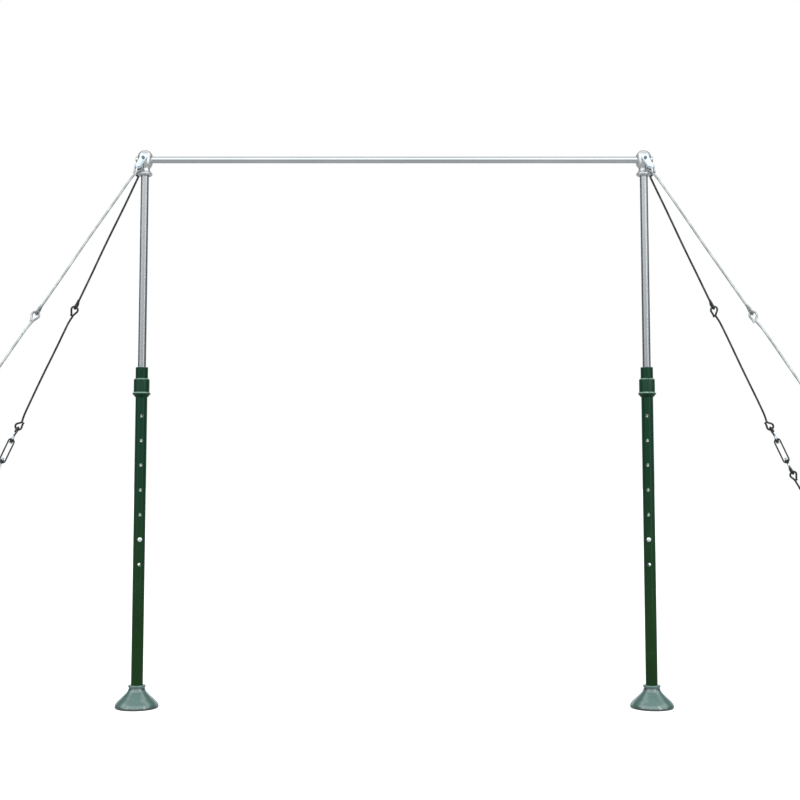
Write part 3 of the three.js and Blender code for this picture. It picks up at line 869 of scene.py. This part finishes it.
def head_bolt():
    bm = add_hexagon(bmesh.new(), (0, -PLATE_OUTER - FIT, 0), (0, -1, 0), BOLT_FLATS, 7)
    bm = boolean(bm, "UNION", rod(BOLT_RADIUS, -PLATE_OUTER - 3, PLATE_OUTER - 4))
    start, end = PLATE_OUTER - 6, PLATE_OUTER + 13 + FIT
    screw = add_thread(bmesh.new(), (0, 1, 0), BOLT_RADIUS, start, end, pitch=1.5, depth=0.7)
    return boolean(bm, "UNION", screw)


def head_nut():
    bm = add_hexagon(bmesh.new(), (0, PLATE_OUTER + FIT, 0), (0, 1, 0), BOLT_FLATS, 8)
    return boolean(bm, "DIFFERENCE", rod(BOLT_RADIUS + 0.15, 20, 90))


def bar():
    end = high_corner("bar").x
    surface, groove = BAR_RADIUS, BAR_RADIUS - 0.45
    outline = [(0, -end), (surface - 1.2, -end), (surface, -end + 1.2)]
    ring_places = [side * (POST_X - HEAD_RADIUS - gap) for side in (-1, 1) for gap in (7, 20)]
    for at in sorted(ring_places):  # two shallow turned rings next to each head
        outline += [(surface, at - 0.9), (groove, at - 0.35), (groove, at + 0.35), (surface, at + 0.9)]
    outline += [(surface, end - 1.2), (surface - 1.2, end), (0, end)]
    bm = add_lathe(bmesh.new(), outline, axis=(1, 0, 0), sides=96)
    holes = [rod(BOLT_RADIUS + FIT, -30, 30, centre=(side * POST_X, 0, 0)) for side in (-1, 1)]
    return boolean(bm, "DIFFERENCE", *holes)


def guy_plate():
    outline = arc((0, 0), 16, -2, 182, 28) + arc((0, -PLATE_LENGTH), 14, 182, 358, 28)
    bm = add_prism(bmesh.new(), outline, PLATE_THICKNESS, bevel=0.9)
    half = PLATE_THICKNESS / 2
    far, near = half + 5, half - 1
    cutters = []
    for z, radius in ((0, BOLT_RADIUS + FIT), (-PLATE_LENGTH, PIN_RADIUS + FIT)):
        wide = radius + 5
        cutter = [(0, -far), (wide, -far), (radius, -near), (radius, near), (wide, far), (0, far)]
        cutters.append(add_lathe(bmesh.new(), cutter, (0, 0, z), (0, 1, 0), 48))
    return boolean(bm, "DIFFERENCE", *cutters)


def plate_pin():
    """The riveted pin, with its outer head towards +Y."""
    face = PLATE_OUTER
    outside = vectors((0, face + FIT), (8, face + FIT), (8, face + 1.2))
    outside += bezier((7.8, face + 1.6), (6.5, face + 2.7), (4, face + 3), (0, face + 3), 6)
    bm = add_lathe(bmesh.new(), outside, axis=(0, 1, 0), sides=40)
    eye = EYE_OFFSET
    painted_light_inside = [(0, eye - 10), (7.7, eye - 10), (8.5, eye - 9.2)]
    painted_light_inside += [(8.5, eye - 7.3), (8.2, eye - 7), (0, eye - 7)]
    bm = boolean(bm, "UNION", add_lathe(bmesh.new(), painted_light_inside, axis=(0, 1, 0), sides=40))
    return boolean(bm, "UNION", rod(PIN_RADIUS, eye - 9, face + 1))


# ---- Guys: each runs down its own -Z from the middle of its upper eye ----


def eye_line(normal, neck, end):
    """From the neck, anticlockwise about normal, round the eye to an angle in degrees."""
    up = -neck.normalized()
    across = normal.cross(up)
    steps = 16
    line = [neck + across * 0.6]
    for k in range(steps + 1):
        angle = math.radians(EYE_START + (end - EYE_START) * k / steps)
        line.append((across * math.cos(angle) + up * math.sin(angle)) * EYE_RADIUS)
    return line


def closed_eye(normal, neck):
    """The rod's end lies against the shank below the eye."""
    up = -neck.normalized()
    across = normal.cross(up)
    beside = 2 * ROD_RADIUS + 0.15
    return eye_line(normal, neck, 196) + [
        neck * 0.86 - across * (beside - 0.1),
        neck * 1.06 - across * beside,
        neck * 1.22 - across * beside,
    ]


def eye_rod(length, upper, lower, sway):
    """upper and lower are (normal, neck) pairs, with each neck measured from its own eye's middle.

    sway is how far the shaft wavers from straight.
    """
    bottom = Vector((0, 0, -length))
    top_neck, low_neck = upper[1], lower[1]
    settling = ((16, 0.75), (34, 0.35), (60, 0.08))  # past a neck, and the share of its offset left there
    straight_from = NECK + 60
    shaft = []
    for run, share in settling:
        shaft.append(Vector((top_neck.x * share, top_neck.y * share, -NECK - run)))
    for k in range(1, 6):
        t = k / 6
        wave = sway * math.sin(math.pi * t) * math.sin(5.3 * t + sway)
        shaft.append(Vector((wave, 0.6 * wave, -straight_from - t * (length - 2 * straight_from))))
    for run, share in reversed(settling):
        shaft.append(Vector((low_neck.x * share, low_neck.y * share, NECK + run - length)))
    first = closed_eye(*upper)[::-1]
    last = [bottom + point for point in closed_eye(*lower)]
    return add_sweep(bmesh.new(), smooth_line(first + shaft + last, 2.2), ROD_RADIUS)


def turnbuckle_hook():
    window_end = (TURNBUCKLE_BODY - TURNBUCKLE_SPAN) / 2 - BOSS_LENGTH
    neck = Vector((0, 0, -NECK))
    hook = [neck * 1.35] + eye_line(Vector((-1, 0, 0)), neck, 200)
    bm = add_sweep(bmesh.new(), smooth_line(hook, 2.0), ROD_RADIUS, taper=1.2)
    shank = add_thread(bmesh.new(), (0, 0, 1), SHANK_RADIUS, window_end - 5.5, -NECK - 4)
    bm = boolean(bm, "UNION", shank)
    bottom, top = window_end - 6, window_end - FIT
    swivel = [(0, bottom), (7.3, bottom), (8.5, bottom + 1.2), (8.5, top - 0.6), (7.9, top), (0, top)]
    return boolean(bm, "UNION", add_lathe(bmesh.new(), swivel, sides=40))


def turnbuckle_eye():
    neck = Vector((0, 0, NECK - DRAW_ROOM))
    line = eye_line(Vector((1, 0, 0)), neck, 196) + [neck * 0.9 - Vector((0, 2, 0))]
    end = TURNBUCKLE_SPAN / 2 - SCREW_END
    bm = add_sweep(bmesh.new(), smooth_line(line, 2.0), ROD_RADIUS)
    stem = add_sweep(bmesh.new(), [neck * 0.93, neck, neck * 1.4], ROD_RADIUS + 0.4, sides=24)
    bm = boolean(bm, "UNION", stem)
    return boolean(bm, "UNION", add_thread(bmesh.new(), (0, 0, 1), SHANK_RADIUS, NECK + 4, end))


def on_a_screw(point):
    return abs(point.z) > NECK + 1


def turnbuckle_body():
    half = TURNBUCKLE_BODY / 2
    bar_radius = 3.9
    reach = TURNBUCKLE_WIDTH / 2 - bar_radius
    flat = half - TURNBUCKLE_WIDTH / 2
    loop = []
    for end in (1, -1):
        for k in range(25):
            angle = math.pi * k / 24
            x = end * reach * math.cos(angle)
            z = end * (flat + (half - bar_radius - flat) * math.sin(angle))
            loop.append(Vector((x, 0, z)))
    rings = []
    bm = bmesh.new()
    for i, point in enumerate(loop):
        along = (loop[(i + 1) % len(loop)] - loop[i - 1]).normalized()
        across = along.cross(Vector((0, 1, 0)))
        ring = []
        for angle in angles(20):
            offset = across * math.cos(angle) + Vector((0, math.sin(angle), 0))
            ring.append(bm.verts.new(point + offset * bar_radius))
        rings.append(ring)
    add_walls(bm, rings + rings[:1])
    for end in (-1, 1):
        outer, inner, ease = end * half, end * (half - BOSS_LENGTH), end * 1.6
        boss = [(0, outer), (7.4, outer), (8.6, outer - ease)]
        boss += [(8.6, inner + ease), (7.6, inner), (0, inner)]
        add_lathe(bm, boss, sides=40)
    bm = fused(bm, 0.9, 3)
    return boolean(bm, "DIFFERENCE", rod(SHANK_RADIUS + FIT, -half - 5, half + 5, (0, 0, 1)))


def floor_anchor():
    middle = ANCHOR_SIDE / 2 - ANCHOR_CORNER
    outline = []
    for start, x, z in ((0, 1, 1), (90, -1, 1), (180, -1, -1), (270, 1, -1)):
        outline += arc((x * middle, z * middle), ANCHOR_CORNER, start, start + 90, 8)
    bm = add_prism(bmesh.new(), outline, ANCHOR_THICKNESS, bevel=0.8)
    bmesh.ops.rotate(bm, cent=(0, 0, 0), matrix=Matrix.Rotation(math.pi / 2, 3, "X"), verts=bm.verts)
    bmesh.ops.translate(bm, vec=(0, 0, ANCHOR_THICKNESS / 2), verts=bm.verts)
    radius = ANCHOR_HOLE_RADIUS
    countersunk = [(0, -5), (radius, -5), (radius, 6.6), (radius + 3.4, 10), (0, 10)]
    holes = []
    for x in (-ANCHOR_HOLE_SPACING / 2, ANCHOR_HOLE_SPACING / 2):
        for y in (-ANCHOR_HOLE_SPACING / 2, ANCHOR_HOLE_SPACING / 2):
            holes.append(add_lathe(bmesh.new(), countersunk, (x, y, 0), sides=36))
    bm = boolean(bm, "DIFFERENCE", *holes)
    spread = math.degrees(math.atan2(LUG_HOLE_HEIGHT - 4, LUG_HALF_WIDTH - LUG_RADIUS))
    outline = vectors((-LUG_HALF_WIDTH, 7), (LUG_HALF_WIDTH, 7))
    outline += arc((0, LUG_HOLE_HEIGHT), LUG_RADIUS, 90 - spread, 90 + spread, 30)
    lug = add_prism(bmesh.new(), outline, LUG_THICKNESS, bevel=0.9)
    lug_hole = rod(LUG_HOLE_RADIUS, -20, 20, centre=(0, 0, LUG_HOLE_HEIGHT))
    bm = boolean(bm, "UNION", boolean(lug, "DIFFERENCE", lug_hole))
    for side in (-1, 1):  # a weld bead along each side of the lug
        bead = []
        for k in range(-20, 21):
            x = k * LUG_HALF_WIDTH / 20
            ripple = Vector((0, side * 0.3 * math.sin(x * 1.9), 0.3 * math.cos(x * 1.9)))
            bead.append(Vector((x, side * (LUG_THICKNESS / 2 + 0.1), ANCHOR_THICKNESS + 0.1)) + ripple)
        bm = boolean(bm, "UNION", add_sweep(bmesh.new(), bead, 2.2, sides=12))
    return bm


# ---- Assembly. Pieces that come more than once are built once and copied. ----

POST_FINISHES = {  # where the finish is not that of the slot
    "collar": "collar_paint",
    "guide_sleeve": "collar_paint",
    "head_bolt": "blued_steel",
    "head_nut": "blued_steel",
    "height_pin": "bright_zinc",
}


def build_posts():
    masters = {
        "foot": foot(),
        "outer_post": outer_post("left_outer_post"),
        "collar": collar("left_collar"),
        "guide_sleeve": guide_sleeve("left_guide_sleeve"),
        "inner_post": inner_post("left_inner_post"),
        "glide_plug": glide_plug("left_glide_plug"),
        "height_pin": height_pin(),
        "head": head(),
        "head_bolt": head_bolt(),
        "head_nut": head_nut(),
    }
    for name, side in (("left", -1), ("right", 1)):
        upright = Matrix.Translation((side * POST_X * MM, 0, 0))
        turned = upright @ Matrix.Rotation(-side * HOLE_TURN, 4, "Z")
        at_pin = turned @ Matrix.Translation((0, 0, PIN_HEIGHT * MM))
        at_bar = upright @ Matrix.Translation((0, 0, BAR_HEIGHT * MM))
        for piece, slot, place in (
            ("foot", "foot_paint", upright),
            ("outer_post", "post_paint", turned),
            ("collar", "post_paint", upright),
            ("guide_sleeve", "post_paint", upright),
            ("inner_post", "galvanised_steel", upright),
            ("glide_plug", "nylon", upright),
            ("height_pin", "zinc_plate", at_pin),
            ("head", "cast_head", at_bar),
            ("head_bolt", "zinc_plate", at_bar),
            ("head_nut", "zinc_plate", at_bar),
        ):
            node = f"{name}_{piece}"
            finish = POST_FINISHES.get(piece)
            other = (in_a_hole, "bare_steel_painted_light") if piece == "outer_post" else None
            shape = masters[piece].copy()
            make(f"{node}_look", shape, slot, body_of(node), [node], place, finish, other)
    level = Matrix.Translation((0, 0, BAR_HEIGHT * MM))
    make("bar_look", bar(), "bar_steel", "upper_frame", ["bar"], level)


def build_guys():
    face_on = Vector((0, 1, 0))
    edge_on = Vector((1, 0, 0))
    masters = {
        "guy_plate": guy_plate(),
        "plate_pin": plate_pin(),
        "turnbuckle_hook": turnbuckle_hook(),
        "turnbuckle_body": turnbuckle_body(),
        "turnbuckle_eye": turnbuckle_eye(),
        "floor_anchor": floor_anchor(),
    }
    for end_name, end in (("front", -1), ("rear", 1)):
        for side_name, side in (("left", -1), ("right", 1)):
            name = f"{end_name}_{side_name}"
            down = -Vector(JOINTS[f"{name}_take_up"]["axis"])
            lean = math.atan2(side * down.x, -down.z)  # as seen from the front
            # painted light and shade: the front guys take the lit rod steel, the rear guys the shaded one
            finish = "bright_rod" if end < 0 else "dark_rod"

            leaning = Matrix.Translation((side * POST_X * MM, 0, BAR_HEIGHT * MM))
            leaning = leaning @ Matrix.Rotation(-side * lean, 4, "Y")
            outward = Matrix.Rotation(math.pi, 4, "Z") if end < 0 else Matrix.Identity(4)
            plate_at = Matrix.Translation((0, end * (PLATE_OUTER - PLATE_THICKNESS / 2) * MM, 0))
            pin_at = Matrix.Translation((0, 0, -PLATE_LENGTH * MM)) @ outward
            for piece, place in (("guy_plate", plate_at), ("plate_pin", pin_at)):
                node = f"{name}_{piece}"
                shape = masters[piece].copy()
                make(f"{node}_look", shape, "zinc_plate", body_of(node), [node], leaning @ place)

            seat = PLATE_LENGTH + EYE_RADIUS - ROD_RADIUS - PIN_RADIUS - EYE_GAP
            top = Vector((
                side * (POST_X + seat * math.sin(lean)),
                end * EYE_OFFSET,
                BAR_HEIGHT - seat * math.cos(lean),
            ))
            # The guy's own axes: Z runs up it, and Y is as level with the plates as that allows.
            z_axis = -down
            tilt = math.asin(z_axis.y)
            y_axis = (face_on - z_axis * z_axis.y).normalized()
            x_axis = y_axis.cross(z_axis)
            turn = Matrix((x_axis, y_axis, z_axis)).transposed().to_4x4()
            guy = Matrix.Translation(top * MM) @ turn

            # How far down the guy each piece's own middle lies.
            upper = UPPER_ROD_LENGTH[end_name]
            drops = {"upper_rod": 0.0, "middle_rod": upper + EYE_PITCH}
            drops["turnbuckle_hook"] = drops["middle_rod"] + MIDDLE_ROD_LENGTH + EYE_PITCH
            drops["turnbuckle_body"] = drops["turnbuckle_hook"] + TURNBUCKLE_SPAN / 2
            drops["turnbuckle_eye"] = drops["turnbuckle_body"] + TURNBUCKLE_SPAN / 2
            drops["lower_rod"] = drops["turnbuckle_eye"] + EYE_PITCH
            reach = LUG_HOLE_RADIUS - ROD_RADIUS - LUG_GAP + EYE_RADIUS
            lower = (top.z - LUG_HOLE_HEIGHT + reach * down.z) / -down.z - drops["lower_rod"]

            # Which way the eyes face and their necks point, in the guy's own axes.
            level = Vector((0, 0, 1)).cross(down).normalized()
            lug_turn = math.atan2(level.dot(y_axis), level.dot(x_axis))
            lug_axis = Vector((-math.sin(lug_turn), math.cos(lug_turn), 0))
            world_y = Vector((0, math.cos(tilt), math.sin(tilt)))
            plumb = Vector((x_axis.z, y_axis.z, z_axis.z))
            hang = Vector((0, -math.sin(tilt), math.cos(tilt))).lerp(plumb, 0.15)
            hang = (hang - world_y * hang.dot(world_y)).normalized()
            inward = -side  # a rod leaves its upper eye steeper, and meets its lower eye flatter
            straight = Vector((0, 0, NECK))
            shapes = {
                "upper_rod": eye_rod(
                    upper,
                    (world_y * -side, hang * -NECK),
                    (edge_on, straight),
                    1.4 * side,
                ),
                "middle_rod": eye_rod(
                    MIDDLE_ROD_LENGTH,
                    (face_on, Vector((inward * 5.5, 0, -NECK))),
                    (face_on * inward, Vector((inward * 5.0, 0, NECK))),
                    -1.1 * side,
                ),
                "turnbuckle_hook": masters["turnbuckle_hook"].copy(),
                "turnbuckle_body": masters["turnbuckle_body"].copy(),
                "turnbuckle_eye": masters["turnbuckle_eye"].copy(),
                "lower_rod": eye_rod(
                    lower,
                    (face_on * inward, Vector((inward * 5.0, 0, -NECK))),
                    (lug_axis, straight),
                    1.0 * end,
                ),
            }
            for piece, shape in shapes.items():
                node = f"{name}_{piece}"
                place = guy @ Matrix.Translation((0, 0, -drops[piece] * MM))
                has_screw = piece in ("turnbuckle_hook", "turnbuckle_eye")
                other = (on_a_screw, "zinc_plate") if has_screw else None
                make(f"{node}_look", shape, finish, body_of(node), [node], place, other=other)

            foot_of_guy = top + down * (drops["lower_rod"] + lower + reach)
            place = Matrix.Translation((foot_of_guy.x * MM, foot_of_guy.y * MM, 0))
            place = place @ Matrix.Rotation(math.atan2(down.y, down.x), 4, "Z")
            node = f"{name}_floor_anchor"
            shape = masters["floor_anchor"].copy()
            make(f"{node}_look", shape, "galvanised_steel", body_of(node), [node], place)


build_posts()
build_guys()
